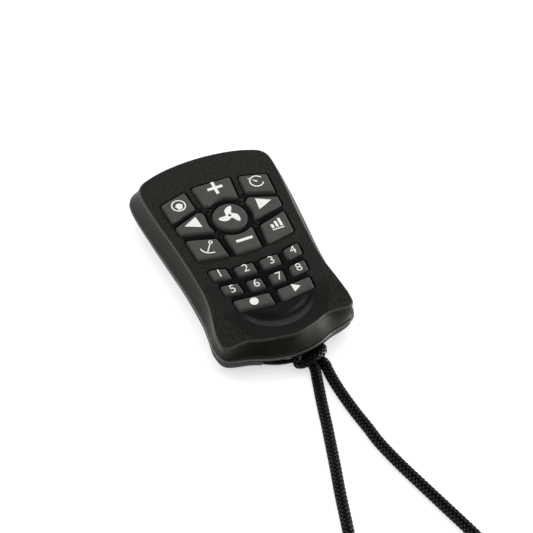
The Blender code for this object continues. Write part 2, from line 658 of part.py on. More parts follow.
# ------------------------------------------------------------ lanyard
def lanyard():
    tube("lanyard_bar", bar_points(BAR_END), BAR_D, "bar_plastic", 3)
    slope = BAR_BOW * (HITCH_X[0] + HITCH_X[1])
    side = Vector((-slope, 1, 0)).normalized()
    middles = [bar_point(HITCH_X[0] + (HITCH_X[1] - HITCH_X[0]) * k / 4) for k in range(5)]
    half_depth, half_height = HITCH_HALF
    outside = [side * (p.x * half_depth - HITCH_REACH) + Vector((0, 0, p.y * half_height))
               for p in circle(1.0, 16)]
    inside = [side * p.x + Vector((0, 0, p.y)) for p in circle(BAR_D / 2 + TOUCH_GAP, 16)]
    sleeve = [[middle + p for p in outside] for middle in middles]
    sleeve += [[middle + p for p in inside] for middle in reversed(middles)]
    loft("lanyard_hitch", sleeve, "cord", closed=True)
    tube("lanyard_strand_left", along(CORD_ROUTE_LEFT, TUBE_STEP * CORD_D), CORD_D, "cord")
    tube("lanyard_strand_right", along(CORD_ROUTE_RIGHT, TUBE_STEP * CORD_D), CORD_D, "cord")
    inner = COIL_MEAN_R - COIL_HALF_WIDTH
    outer = COIL_MEAN_R + COIL_HALF_WIDTH
    top = COIL_HEIGHT
    ring = [(outer - 2, top), (outer, top - 2), (outer, 1.5), (outer - 1.5, 0), (inner + 1.5, 0),
            (inner, 1.5), (inner, top - 2), (inner + 2, top)]
    turned("lanyard_coil", ring, (*COIL_CENTRE, 0), "cord", 32)
    x, y = COIL_CENTRE
    far = y - outer - TOUCH_GAP - TIE_THICK
    near = y - inner + 2 * TIE_THICK
    crest = top + TOUCH_GAP + TIE_THICK
    tie = block("lanyard_tie", (x - TIE_WIDTH / 2, far, 0), (x + TIE_WIDTH / 2, near, crest), "tie")
    boolean(tie, block("tie_inside", (x - TIE_WIDTH, far + TIE_THICK, -2),
                       (x + TIE_WIDTH, near - TIE_THICK, top + TOUCH_GAP)))


front_shell()
seal_bead()
rear_shell()
keypad()
dome_sheet()
electronics()
cells()
battery_door()
screws()
lanyard()
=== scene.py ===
"""Looks of a hand controller for a bow-mounted electric boat motor, with its lanyard.

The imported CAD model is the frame.  Every piece here stands where the frame's nodes
stand: the moulded shells, the bead, nineteen rubber keys with their printed symbols,
the braided lanyard, and the finish of each part inside.

Lengths are in millimetres until they become vertices.
"""
import math

import bmesh
import bpy
import numpy as np
from mathutils import Matrix, Vector, geometry


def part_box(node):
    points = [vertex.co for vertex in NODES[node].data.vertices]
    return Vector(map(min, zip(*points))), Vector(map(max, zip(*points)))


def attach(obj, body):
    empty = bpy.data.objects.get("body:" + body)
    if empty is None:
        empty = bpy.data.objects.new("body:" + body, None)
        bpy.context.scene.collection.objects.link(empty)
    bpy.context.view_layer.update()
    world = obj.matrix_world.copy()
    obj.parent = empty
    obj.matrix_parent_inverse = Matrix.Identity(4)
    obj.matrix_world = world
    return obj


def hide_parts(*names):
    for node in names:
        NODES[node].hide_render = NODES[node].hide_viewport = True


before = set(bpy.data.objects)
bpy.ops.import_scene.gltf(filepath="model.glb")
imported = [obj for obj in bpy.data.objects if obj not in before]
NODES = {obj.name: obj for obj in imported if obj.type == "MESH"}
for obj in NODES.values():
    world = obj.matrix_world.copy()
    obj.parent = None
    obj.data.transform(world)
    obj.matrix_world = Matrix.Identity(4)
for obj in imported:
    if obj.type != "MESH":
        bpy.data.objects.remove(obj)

norm = np.linalg.norm
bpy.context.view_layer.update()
MM = 0.001

# ---- view
CAMERA_PLACE = (-197.483, -382.529, 534.233)
CAMERA_AZIMUTH = -28.6032  # degrees; 0 looks along +Y
CAMERA_ELEVATION = 50.7677
CAMERA_ROLL = 4.9436
CAMERA_LENS = 108.0675  # on a 36 mm sensor

# ---- outlines and heights
# The rim and the face's edge, right-hand halves from the upper end to the lower end.
RIM_HALF = [(0, 54.6), (14, 53.9), (25, 52), (32, 49), (34.4, 42.5), (33.8, 26),
            (32.2, 8), (30.7, -8), (30.1, -22), (30.1, -33), (30.5, -40.6),
            (28.0, -47.1), (17.8, -50.1), (9.5, -53.2), (0, -54.6)]
FACE_HALF = [(0, 52.4), (12.5, 51.5), (22.5, 49.2), (28.8, 45.9), (30.7, 39.5), (29.9, 25),
             (28.2, 8), (27, -10), (26.9, -20), (28.2, -32), (29.1, -40.5),
             (27.4, -45.0), (17.5, -44.9), (9.5, -47.5), (0, -49.5)]
OUTLINE_STEPS = 8  # points for each stretch of an outline
LEAN_START = -22.0  # the lower left corner is drawn out below this
LEAN_REACH = (14.0, 18.0)  # over this width and length
RIM_LEAN = (1.1, 0.0)  # by this much outwards and down
FACE_LEAN = (1.3, 0.8)
RIM_REACH = 33.0  # half sizes that insets are measured against
HALF_LENGTH = 54.6
FACE_Z = 20.9
FACE_WALL = 1.8
FACE_THIN = 1.3  # thickness under the thumb rest
FACE_ROOT = (2.4, 2.5)  # inset and drop of the fillet inside the front shell
FACE_DROP = 1.6  # how far the face falls at its lower end
DROP_START = -28.0
DROP_END = -50.0
INNER_DROP_START = -35.5  # the same fall on the face's inner side
FRONT_EDGE_Z = 12.9  # lower edge of the front shell
BEAD_Z = (11.0, 12.6)
BEAD_DEPTH = 2.4
BEAD_STEPS = 15
REAR_EDGE_Z = 10.7  # upper edge of the rear shell
TONGUE_Z = 12.2
TONGUE = (2.8, 4.2)  # insets of the tongue's two sides
PARTING_FALL = 1.4  # how far the parting falls towards the upper end
SIDE_WALL = 2.7

# Rings up the outside of the front shell, as inset and height.
FOOT_RINGS = [(0.9, 0.0), (0.9, 0.42), (0.78, 0.6), (0.5, 0.72), (0.33, 0.9), (0.3, 1.15)]
EDGE_RINGS = [(-0.22, -0.85), (-0.18, -0.55), (-0.1, -0.31), (0.0, -0.14), (0.13, -0.04),
              (0.3, -0.01)]
WALL_SHARES = (0.12, 0.28, 0.45, 0.62, 0.78, 0.9)
WALL_HOLLOW = 0.35

# ---- face
SCOOP_OUTER = (0.0, -24.3, 19.5)  # centre and radius of the thumb rest's outer edge
SCOOP_INNER = (0.0, -14.0, 23.0)  # its inner edge, along the last row of keys
SCOOP_DEPTH = 1.75
SCOOP_SLOPES = (6.0, 3.2)  # widths of the outer and the inner slope
SCOOP_ENDS = (18.0, 7.5)  # where it ends to each side, and the width of that fade
# Left edge of the smooth field round the keypad, inside the textured border.
SMOOTH_FIELD = [(-19.0, -6.5), (-24.6, -12.5), (-25.0, -22.0), (-23.1, -34.0), (-17.6, -43.2),
                (-16.4, -52.0)]
GRIT_BELOW = -12.0  # the texture is coarser below this
STRIP = (3.7, 3.4)  # painted shade: widest gap between two keys that gets it; reach of a crossing of gaps that gets it
FACE_INSET = 0.55
FACE_GRIDS = [(0.575, -46.5, -30), (1.15, -52, 54)]  # spacing, lowest and highest row
GRID_HALF = 32
GRID_CELL = 0.5  # cells for thinning the points out
GRID_APART = 0.45  # least distance between two points
BORDER_APART = 0.42  # least distance of a point from an outline
# Two of these finishes are painted light: the near-black one between the keys and in their openings
# is painted shade, the lighter one on the face's rounded edge is a painted highlight.
SHELL_LOOKS = ("shell_face", "shell_field", "shell_side", "shell_grit", "shell_strip_painted_shade", "shell_edge_painted_highlight")
FACE_SLOT, FIELD_SLOT, SIDE_SLOT, GRIT_SLOT, PAINTED_SHADE_SLOT, HIGHLIGHT_EDGE_SLOT = range(len(SHELL_LOOKS))

# ---- keys
KEY_TOP = 22.0
ROUND_KEY = (0.0, 15.5)
ROUND_KEY_D = 15.0
ROUND_CLEAR = 10.2  # the keys round it keep this far from its centre
# Corners of the right-hand keys about the round key's centre.
SIDE_KEYS = {
    ("key_heading", "key_cruise"): [(24.8, 16.8), (12.6, 20.0), (11.8, 9.9), (24.0, 5.5)],
    ("key_left", "key_right"): [(23.8, 3.0), (11.8, 7.4), (9.8, 6.0), (9.3, -5.3), (23.4, -1.9)],
    ("key_anchor", "key_manual"): [(22.7, -5.2), (10.0, -8.8), (8.8, -19.5), (21.9, -17.0)],
    ("key_1", "key_4"): [(20.5, -23.4), (13.1, -25.0), (12.7, -30.6), (20.0, -29.4)],
    ("key_2", "key_3"): [(10.0, -25.8), (1.5, -26.2), (1.5, -31.6), (9.6, -31.3)],
    ("key_5", "key_8"): [(19.1, -32.8), (11.6, -33.9), (11.1, -39.3), (18.6, -38.2)],
    ("key_6", "key_7"): [(8.3, -34.4), (1.7, -34.7), (1.6, -40.3), (7.7, -40.1)],
    ("key_record", "key_play"): [(17.3, -41.8), (1.7, -43.2), (1.7, -49.2), (16.7, -47.4)],
}
# The keys over and under the round key: distance kept from its centre, and corners.
MIDDLE_KEYS = {
    "key_speed_up": (10.6, [(-9.0, 21.1), (-7.8, 8.9), (7.8, 8.9), (9.0, 21.1)]),
    "key_speed_down": (9.9, [(-6.5, -8.2), (-5.8, -19.9), (5.8, -19.9), (6.5, -8.2)]),
}
KEY_RADIUS = 0.8
KEY_CORNER = (0.45, 7)  # largest share of a side that a corner takes, and its points
KEY_SPACING = 0.45  # between an outline's points
# Rings up a key, as growth and height: skirt, leaning side, soft edge.
KEY_RINGS = [(0.85, 17.8), (0.85, 18.7), (0.3, 18.7), (0.24, 19.8), (0.14, 20.6), (0.0, 21.05),
             (-0.2, 21.42), (-0.36, 21.66), (-0.52, 21.83), (-0.72, 21.93), (-1.05, 21.975)]
CROWN_SHARES = (0.72, 0.45, 0.2)
CROWN_FALL = 0.02
KEY_NECK = (-0.5, 16.0)  # growth and foot of the neck under the skirt
OPENING_GAP = 0.65
OPENING_RIM = [(0.24, 0.0), (0.15, -0.03), (0.06, -0.1), (0.0, -0.22), (0.0, -1.2)]

# ---- back of the controller
BASE_SCALE = (0.66, 0.80)  # the flat base against the rim
BASE_SPREAD = (0.16, -35.0)  # it is wider by this share from this y on
# Rings of the back: how far from the rim to the base, and height; outside, hollow and lip.
BACK_PROFILE = [(1.0, 0.0), (0.86, 0.12), (0.72, 0.5), (0.62, 1.0), (0.52, 1.6), (0.42, 2.45),
                (0.34, 3.4), (0.26, 4.4), (0.19, 5.6), (0.14, 6.7), (0.1, 7.8)]
HOLLOW_PROFILE = [(0.95, 1.8), (0.7, 3.4), (0.52, 5.4), (0.42, 8.0)]
REAR_LIP = [(0.62, -0.75), (0.38, -0.3), (0.42, -0.1), (0.55, 0.0), (TONGUE[0], 0.0)]
CAVITY_INSET = 4.3
CASE_SCREWS = [(-24, 40.5), (24, 40.5), (-22.2, -37), (22.2, -37)]
DOOR_SCREWS = [(0, -30.8), (0, 30.8)]
BOSS = (3.2, 1.5, 9.4, 19.25)  # outer and inner radius, foot and root
REAR_BOSS = (4.4, 9.0)  # radius and top of the bosses in the rear shell
DOOR_BOSS = (3.0, 8.5)
CHAMBER = (11.3, 25.3)  # half sizes of the battery chamber
CHAMBER_WALL = 1.3
CHAMBER_LEDGE = (2.3, 3.2)  # width and top of the ledge for the door's seal
DOOR = (13.6, 34.0)  # half sizes of the battery door
DOOR_THICK = 1.8
DOOR_FLOOR = (1.8, 4.7)  # the shell's thicker part round the door: width and top
DOOR_RINGS = [(-0.45, 0.0), (-0.16, 0.1), (0.0, 0.4), (0.0, DOOR_THICK)]
TOUCH_GAP = 0.3
POCKET = (14.3, -43.6, 9.9)  # half width, back and roof of the lanyard's pocket
POCKET_WALL = 1.5
POCKET_SIDE = 4.2
SHARP_ANGLE = 32  # degrees; sharper bends are creases, if nothing else is said

# ---- lanyard
BAR_D = 2.0
BAR_Z = 5.3
BAR_CREST_Y = -52.2
BAR_BOW = 0.023
BAR_END = 16.6
BAR_SIDES = 24
CORD_D = 4.7
ROUTE_LEFT = [(6.0, -58.7, 2.7), (5, -62, 2.45), (3.5, -67, 2.4), (2, -72, 2.4),
              (0.2, -78.4, 2.4), (-1.6, -85, 2.4), (-3.8, -92.5, 2.4), (-6.9, -103, 2.4),
              (-10.3, -114, 2.4), (-13.7, -126, 2.4), (-16.8, -137, 2.4), (-19, -146, 2.5),
              (-20.2, -152.5, 4.2), (-20.8, -157, 6), (-21, -161.8, 6.8)]
ROUTE_RIGHT = [(11.0, -57.4, 2.7), (10.7, -63, 2.4), (10.8, -70, 2.4), (11.4, -78, 2.4),
               (12.2, -85, 2.4), (13.2, -91.5, 2.4), (14.3, -100, 2.4), (17.2, -112, 2.4),
               (20.8, -124, 2.4), (24.6, -136.5, 2.4), (28.4, -149, 2.4), (30.9, -158, 2.4),
               (32.3, -164.4, 2.4)]
COIL_EXIT = (-23.0, -172.5, 7.0)  # where the left strand leaves the coil
COIL_CENTRE = (5.0, -183.0)
COIL_RADII = (28.4, 23.6)  # outer and inner turns
COIL_LAYERS = (2.4, 7.05)  # heights of the two layers
COIL_WINDINGS = range(-12, 1261, 15)  # degrees, clockwise from the +X side
COIL_INWARDS = (285, 65)  # where it starts to move in, and over how many degrees
COIL_CLIMB = (615, 75)
COIL_OUTWARDS = (900, 150)
TIE_ARCH = (0.85, 90, 16)  # the coil's arch under the tie: height, place and width
# The hitch, with its radii: under the bar, up behind it, over it, across both strands, and back.
HITCH_ROUTE = [(6.0, -58.9, 2.7, 2.45), (6.2, -56.6, 2.8, 2.45), (5.8, -54.2, 2.8, 2.2),
               (4.9, -51.6, 2.2, 1.9), (3.8, -49.2, 2.8, 1.8), (2.8, -47.9, 5.2, 1.8),
               (1.9, -48.8, 7.4, 1.8), (0.9, -51.0, 7.7, 1.9), (-0.1, -53.0, 7.0, 2.1),
               (-0.3, -54.6, 6.0, 2.25), (1.0, -55.3, 5.8, 2.3), (3.5, -55.5, 6.3, 2.3),
               (6.2, -55.3, 7.1, 2.3), (8.6, -54.7, 7.4, 2.3), (10.6, -53.8, 7.3, 2.3),
               (11.4, -52.2, 7.5, 2.1), (10.8, -50.4, 8.0, 1.8), (10.0, -48.7, 7.5, 1.8),
               (9.6, -47.8, 5.2, 1.8), (9.5, -48.9, 2.8, 1.8), (9.6, -50.9, 2.2, 1.9),
               (9.8, -53.4, 2.7, 2.2), (10.3, -55.6, 2.8, 2.45), (11.0, -57.4, 2.7, 2.45)]
BRAID_CARRIERS = 6
BRAID_STEPS = 4  # rings of vertices for one cell of the braid
BRAID_DEPTH = 0.22  # share of the radius between a crown and a valley
BRAID_PHASE = 0.01
BRAID_SHADE_LEVEL = 0.56  # faces lower than this take the near-black finish: painted shade in the braid's valleys
CORD_FULLNESS = 1.04  # crowns of the braid stand out by this over the cord's radius
CORD_SIDES = 48
CORD_STEP = 0.46
CURVE_STEPS = 16  # points for each stretch of a route, before it is spaced evenly
TIE = (8.0, 0.8)  # width and thickness
TIE_EDGE = 0.18
TIE_RADII = (3.4, 2.6)  # outer and inner corners
TIE_LIFT = 0.6  # over the CAD strap's top
LAP = (4.2, 1.2, 1.5)  # the lapped end: half length, corners, place
LAP_RINGS = [(0.0, 0.02), (0.0, 0.5), (-0.2, 0.65)]

# ---- printed symbols
PRINT_LIFT = (-0.03, 0.055)  # the print's foot and top over the key's top
PLUS = (7.0, 1.4)  # length and width of the arms
# One blade of the propeller, out and back, with its tip along +X.
BLADE = [(1.6, -0.5), (2.4, -0.42), (3.4, -0.5), (4.5, -0.42), (5.1, -0.2), (5.25, 0.15),
         (4.85, 1.0), (3.9, 1.8), (2.8, 2.3), (1.75, 2.35), (0.85, 2.0), (0.15, 1.65)]
BLADE_TURNS = (63, 183, 303)
DIGIT_SIZE = 5.7
DIGIT_THIN = -0.03  # the outline is moved inwards by this much
DIGITS = {"key_1": (-16.7, -11.4), "key_2": (-5.6, -12.9), "key_3": (6.1, -13.0),
          "key_4": (16.7, -11.4), "key_5": (-15.0, -20.8), "key_6": (-4.8, -21.8),
          "key_7": (5.4, -21.9), "key_8": (15.0, -20.8)}

# ---- parts inside
# Each finish goes to the nodes whose names start with one of these.
INSIDE_LOOKS = {
    "web_rubber": ("keypad_web", "battery_door_seal"),
    "dome_film": ("dome_sheet",),
    "board_mask": ("circuit_board",),
    "chip_epoxy": ("controller_chip",),
    "cell_wrap": ("battery_1", "battery_2", "antenna"),
    "bright_steel": ("radio_module", "battery_contact", "battery_spring", "case_screw",
                     "battery_door_screw"),
}


# ---- outline helpers
def mirrored(half):
    return half + [(-x, y) for x, y in reversed(half[1:-1])]


def catmull(p0, p1, p2, p3, t):
    return 0.5 * (2 * p1 + (p2 - p0) * t + (2 * p0 - 5 * p1 + 4 * p2 - p3) * t ** 2
                  + (3 * p1 - p0 - 3 * p2 + p3) * t ** 3)


def smoothed(points, steps=OUTLINE_STEPS):
    """A closed Catmull-Rom curve through the points."""
    points = np.array(points, float)
    return np.array([catmull(*(points[(i + k) % len(points)] for k in (-1, 0, 1, 2)), s / steps)
                     for i in range(len(points)) for s in range(steps)])


def shrink(outline, inset):
    return outline * (1 - inset / RIM_REACH, 1 - inset / HALF_LENGTH)


def smoothstep(value):
    share = np.clip(value, 0.0, 1.0)
    return share * share * (3 - 2 * share)


def leaned(outline, lean):
    """The outline with its lower left corner drawn out, as the photo shows it."""
    width, length = LEAN_REACH
    share = smoothstep((LEAN_START - outline[:, 1]) / length) * smoothstep(-outline[:, 0] / width)
    return outline - np.column_stack([lean[0] * share, lean[1] * share ** 2])


def fallen(y, start=DROP_START):
    """How far the face has fallen at this y."""
    return FACE_DROP * smoothstep((start - y) / (start - DROP_END))


def parting(y):
    return PARTING_FALL * smoothstep(y / HALF_LENGTH)


def ring(outline, z):
    """Points in space at a height, or at one height for each point."""
    return np.column_stack([outline, np.broadcast_to(z, len(outline))])


def unit(vectors):
    return vectors / norm(vectors, axis=1)[:, None]


def grown(points, amount):
    """An anticlockwise outline moved outwards."""
    along = points - np.roll(points, 1, 0)
    before = unit(np.column_stack([along[:, 1], -along[:, 0]]))
    middle = unit(before + np.roll(before, -1, 0))
    return points + middle * amount / np.maximum((middle * before).sum(1), 0.6)[:, None]


def turned(angle, radius, centre):
    return np.column_stack([centre[0] + radius * np.cos(angle), centre[1] + radius * np.sin(angle)])


def circle(radius, count, centre=(0.0, 0.0)):
    return turned(2 * math.pi * np.arange(count) / count, radius, centre)


def arc(radius, start, end, count=40, centre=(0, 0)):
    return turned(np.radians(np.linspace(start, end, count)), radius, centre)


def box(left, bottom, right, top):
    return np.array([(left, bottom), (right, bottom), (right, top), (left, top)])


def rounded_box(half, pad, radius):
    half_x, half_y = half[0] + pad, half[1] + pad
    corners = ((1, 1, 0), (-1, 1, 90), (-1, -1, 180), (1, -1, 270))
    turns = [(sx, sy, math.radians(start + 90 * k / 8)) for sx, sy, start in corners
             for k in range(9)]
    return np.array([(sx * (half_x - radius) + radius * math.cos(turn),
                      sy * (half_y - radius) + radius * math.sin(turn)) for sx, sy, turn in turns])


def inside(points, polygon):
    """Which points lie inside a polygon."""
    x, y = points[:, 0], points[:, 1]
    found = np.zeros(len(points), bool)
    for (x1, y1), (x2, y2) in zip(polygon, np.roll(polygon, -1, 0)):
        crosses = (y1 > y) != (y2 > y)
        if y1 != y2:
            found ^= crosses & (x < (x2 - x1) * (y - y1) / (y2 - y1) + x1)
    return found


def nearest(points, line):
    """Distance from each point to the nearest point of a line."""
    return np.min(norm(points[:, None] - line[None], axis=2), axis=1)


RIM = leaned(smoothed(mirrored(RIM_HALF))[::-1], RIM_LEAN)
FACE = leaned(smoothed(mirrored(FACE_HALF))[::-1], FACE_LEAN)
RIM_FALL = parting(RIM[:, 1])
FACE_FALL = fallen(FACE[:, 1])


# ---- mesh helpers
def placed(name, data):
    """A new object in the scene."""
    obj = bpy.data.objects.new(name, data)
    bpy.context.scene.collection.objects.link(obj)
    return obj


def shade(mesh, sharp_angle=SHARP_ANGLE):
    mesh.shade_smooth()
    mesh.set_sharp_from_angle(angle=math.radians(sharp_angle))


class Skin:
    """Collects the points (in millimetres), faces and material slots of one mesh."""

    def __init__(self):
        self.points = []
        self.faces = []
        self.slots = []

    def add(self, points):
        start = len(self.points)
        self.points.extend(np.asarray(points).tolist())
        return np.arange(start, len(self.points))

    def face(self, corners, slot=0):
        self.faces.append(tuple(map(int, corners)))
        self.slots.append(slot)

    def bridge(self, low, high, slot=0):
        """Faces between two loops; low to high runs outwards and up."""
        for corners in zip(low, np.roll(low, -1), np.roll(high, -1), high):
            self.face(corners, slot)

    def rings(self, loops, slot=0, closed=False):
        made = [self.add(loop) for loop in loops]
        for low, high in zip(made, made[1:] + (made[:1] if closed else [])):
            self.bridge(low, high, slot)
        return made

    def solid(self, loops):
        """A loft with both ends closed."""
        made = self.rings(loops)
        self.face(reversed(made[0]))
        self.face(made[-1])

    def make(self, name, *looks, sharp_angle=SHARP_ANGLE):
        mesh = bpy.data.meshes.new(name)
        mesh.from_pydata((np.asarray(self.points) * MM).tolist(), [], self.faces)
        for look in looks:
            mesh.materials.append(LOOK[look])
        mesh.polygons.foreach_set("material_index", np.asarray(self.slots, np.int32))
        shade(mesh, sharp_angle)
        return placed(name, mesh)


def loft(name, loops, *looks, **settings):
    """One solid through the loops."""
    skin = Skin()
    skin.solid(loops)
    return skin.make(name, *looks, **settings)


def boolean(obj, cutter):
    """Cut now, and drop the cutter."""
    modifier = obj.modifiers.new("cut", "BOOLEAN")
    modifier.operation = "DIFFERENCE"
    modifier.object = cutter
    modifier.solver = "EXACT"
    graph = bpy.context.evaluated_depsgraph_get()
    mesh = bpy.data.meshes.new_from_object(obj.evaluated_get(graph))
    obj.modifiers.clear()
    obj.data = mesh
    bpy.data.objects.remove(cutter, do_unlink=True)


def cut(obj, outline, low, high):
    """Cut away what stands over the outline between two heights."""
    boolean(obj, loft("cutter", [ring(outline, low), ring(outline, high)]))


def tag(obj, body, slot, *nodes):
    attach(obj, body)
    if nodes:
        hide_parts(*nodes)
    return obj


# ---- node materials
def add_node(tree, kind, inputs, **settings):
    made = tree.nodes.new(kind)
    for key, value in settings.items():
        setattr(made, key, value)
    for key, value in inputs.items():
        if isinstance(value, bpy.types.NodeSocket):
            tree.links.new(value, made.inputs[key])
        else:
            made.inputs[key].default_value = value
    return made


class Finish:
    """A Principled material whose colour, roughness and relief come from nodes."""

    def __init__(self, name, **sockets):
        self.name = name
        self.material = bpy.data.materials.new(name)
        self.material.use_nodes = True
        self.tree = self.material.node_tree
        self.shader = self.tree.nodes["Principled BSDF"]
        self.place = add_node(self.tree, "ShaderNodeTexCoord", {}).outputs["Object"]
        self.normal = None
        for socket, value in sockets.items():
            self.shader.inputs[socket.replace("_", " ")].default_value = value

    def noise(self, grain, detail=2.0, roughness=0.5):
        """Noise whose lumps are about one grain across, in millimetres."""
        inputs = {"Vector": self.place, "Scale": 1 / (grain * MM), "Detail": detail,
                  "Roughness": roughness}
        return add_node(self.tree, "ShaderNodeTexNoise", inputs).outputs["Fac"]

    def spread(self, value, low, high):
        """The noise's middle range stretched between two values."""
        inputs = {"Value": value, "From Min": 0.3, "From Max": 0.7, "To Min": low, "To Max": high}
        return add_node(self.tree, "ShaderNodeMapRange", inputs).outputs["Result"]

    def colour(self, value, dark, light):
        inputs = {"Factor": value, 6: (*dark, 1), 7: (*light, 1)}
        mix = add_node(self.tree, "ShaderNodeMix", inputs, data_type="RGBA")
        self.tree.links.new(mix.outputs[2], self.shader.inputs["Base Color"])

    def rough(self, value, low, high):
        self.tree.links.new(self.spread(value, low, high), self.shader.inputs["Roughness"])

    def relief(self, value, depth):
        """Bump of a depth in millimetres; calls add up."""
        inputs = {"Height": value, "Distance": depth * MM, "Strength": 1.0}
        if self.normal:
            inputs["Normal"] = self.normal
        self.normal = add_node(self.tree, "ShaderNodeBump", inputs).outputs["Normal"]
        self.tree.links.new(self.normal, self.shader.inputs["Normal"])


def moulded(name, dark, light, rough, grain, depth, patches=9.0, spec=0.5, **sockets):
    """Moulded plastic or rubber: fine relief, soft colour patches, uneven gloss."""
    finish = Finish(name, Specular_IOR_Level=spec, **sockets)
    fine = finish.noise(grain, 3.0, 0.6)
    broad = finish.noise(patches, 2.0)
    finish.colour(finish.spread(broad, 0.0, 1.0), dark, light)
    finish.rough(fine, *rough)
    finish.relief(fine, depth)
    return finish


def textured(name, grain, depth):
    """Spark-eroded texture: light specks on black, with an uneven surface."""
    finish = Finish(name, Specular_IOR_Level=0.18, Specular_Tint=(1, 1, 0.92, 1))
    speck = finish.noise(grain, 1.0, 0.5)
    finish.colour(finish.spread(speck, 0.0, 1.0), (0.0006, 0.0008, 0.0004),
                  (0.0130, 0.0136, 0.0110))
    finish.rough(speck, 0.62, 0.42)
    finish.relief(speck, depth)
    finish.relief(finish.noise(grain / 2), depth / 3)
    return finish


LOOK = {finish.name: finish.material for finish in (
    textured("shell_face", 0.7, 0.06),
    textured("shell_grit", 0.75, 0.11),
    moulded("shell_field", (0.0022, 0.0025, 0.0018), (0.0034, 0.0037, 0.0029), (0.36, 0.44),
            0.35, 0.012, spec=0.34, Specular_Tint=(1, 1, 0.93, 1)),
    moulded("shell_side", (0.0028, 0.0027, 0.002), (0.004, 0.0038, 0.003), (0.4, 0.5),
            0.3, 0.012, spec=0.215, Specular_Tint=(1, 0.98, 0.86, 1)),
    # Lighter grey on the rounded edge of the face: a painted highlight.
    moulded("shell_edge_painted_highlight", (0.017, 0.017, 0.014), (0.024, 0.024, 0.02), (0.34, 0.42),
            0.3, 0.008, Specular_Tint=(1, 0.98, 0.9, 1)),
    # Near black between the keys and on the walls of their openings: painted shade.
    moulded("shell_strip_painted_shade", (0.0008, 0.0009, 0.0007), (0.0016, 0.0017, 0.0013), (0.5, 0.6),
            0.5, 0.03, spec=0.1),
    moulded("rear_plastic", (0.002, 0.002, 0.0015), (0.0032, 0.0031, 0.0024), (0.45, 0.55),
            0.3, 0.012, spec=0.12),
    # Lighter than the shells: partly the bead's own grey, partly a painted highlight standing in
    # for its bright reflections.
    moulded("bead_rubber", (0.03, 0.029, 0.024), (0.042, 0.041, 0.034), (0.26, 0.36),
            0.3, 0.008, 5.0, Specular_Tint=(1, 0.99, 0.93, 1)),
    moulded("key_rubber", (0.033, 0.035, 0.031), (0.04, 0.042, 0.037), (0.55, 0.68),
            0.3, 0.02, 0.9, spec=0.3),
    moulded("symbol_print", (0.5, 0.51, 0.49), (0.62, 0.63, 0.61), (0.5, 0.65), 0.12, 0.006, 0.6),
    moulded("web_rubber", (0.003, 0.003, 0.003), (0.005, 0.005, 0.005), (0.7, 0.85),
            0.2, 0.01, spec=0.2),
    moulded("bar_plastic", (0.002, 0.002, 0.002), (0.004, 0.004, 0.004), (0.4, 0.5),
            0.3, 0.01, spec=0.2),
    moulded("cord_nylon", (0.001, 0.0011, 0.0009), (0.003, 0.0031, 0.0026), (0.3, 0.45),
            0.2, 0.03, 0.7, spec=0.34),
    # Near black in the braid's valleys: painted shade.
    moulded("cord_gap_painted_shade", (0.0006, 0.0006, 0.0005), (0.001, 0.001, 0.0009), (0.8, 0.9),
            0.2, 0.02, 0.7, spec=0.05),
    moulded("tie_webbing", (0.008, 0.008, 0.009), (0.014, 0.014, 0.015), (0.75, 0.92),
            0.25, 0.08, 2.0, Sheen_Weight=0.2),
    moulded("board_mask", (0.004, 0.06, 0.022), (0.008, 0.09, 0.036), (0.28, 0.4),
            0.6, 0.01, 3.0, Coat_Weight=0.4),
    moulded("dome_film", (0.5, 0.52, 0.54), (0.6, 0.61, 0.62), (0.2, 0.34), 1.5, 0.02),
    moulded("chip_epoxy", (0.01, 0.01, 0.011), (0.016, 0.016, 0.017), (0.38, 0.5), 0.12, 0.01),
    moulded("cell_wrap", (0.03, 0.08, 0.19), (0.045, 0.11, 0.24), (0.22, 0.34),
            2.0, 0.02, Coat_Weight=0.5),
    moulded("bright_steel", (0.5, 0.5, 0.51), (0.62, 0.62, 0.63), (0.2, 0.36),
            0.3, 0.006, 3.0, Metallic=1.0),
)}


# ---- camera
def place_camera():
    angles = (CAMERA_AZIMUTH, CAMERA_ELEVATION, CAMERA_ROLL)
    azimuth, elevation, roll = (math.radians(angle) for angle in angles)
    back = Vector((math.sin(azimuth) * math.cos(elevation),
                   -math.cos(azimuth) * math.cos(elevation), math.sin(elevation)))
    level = Vector((0, 0, 1)).cross(back).normalized()
    upright = back.cross(level)
    right = math.cos(roll) * level + math.sin(roll) * upright
    up = -math.sin(roll) * level + math.cos(roll) * upright
    data = bpy.data.cameras.new("camera")
    data.lens = CAMERA_LENS
    data.sensor_width = 36.0
    data.clip_start = 0.01
    camera = placed("camera", data)
    turn = Matrix((right, up, back)).transposed().to_4x4()
    camera.matrix_world = Matrix.Translation(Vector(CAMERA_PLACE) * MM) @ turn
    bpy.context.scene.camera = camera


# ---- lanyard
def resampled(knots):
    """Evenly spaced points on a smooth open curve; columns after the third follow along."""
    knots = np.array(knots, float)
    knots = np.vstack([2 * knots[0] - knots[1], knots, 2 * knots[-1] - knots[-2]])
    dense = np.array([catmull(*knots[i:i + 4], s / CURVE_STEPS)
                      for i in range(len(knots) - 3) for s in range(CURVE_STEPS)] + [knots[-2]])
    steps = norm(np.diff(dense[:, :3], axis=0), axis=1)
    travelled = np.concatenate([[0], np.cumsum(steps)])
    wanted = np.linspace(0, travelled[-1], round(travelled[-1] / CORD_STEP) + 1)
    return np.column_stack([np.interp(wanted, travelled, column) for column in dense.T])


def transported(points):
    """Two directions across the path at each point, without twist."""
    tangents = unit(np.gradient(points, axis=0))
    across = np.cross(tangents[0], (0, 0, 1.0))
    across /= norm(across)
    sides = []
    for tangent in tangents:
        across = across - tangent * (across @ tangent)
        across /= norm(across)
        sides.append(across)
    sides = np.array(sides)
    return sides, np.cross(tangents, sides)


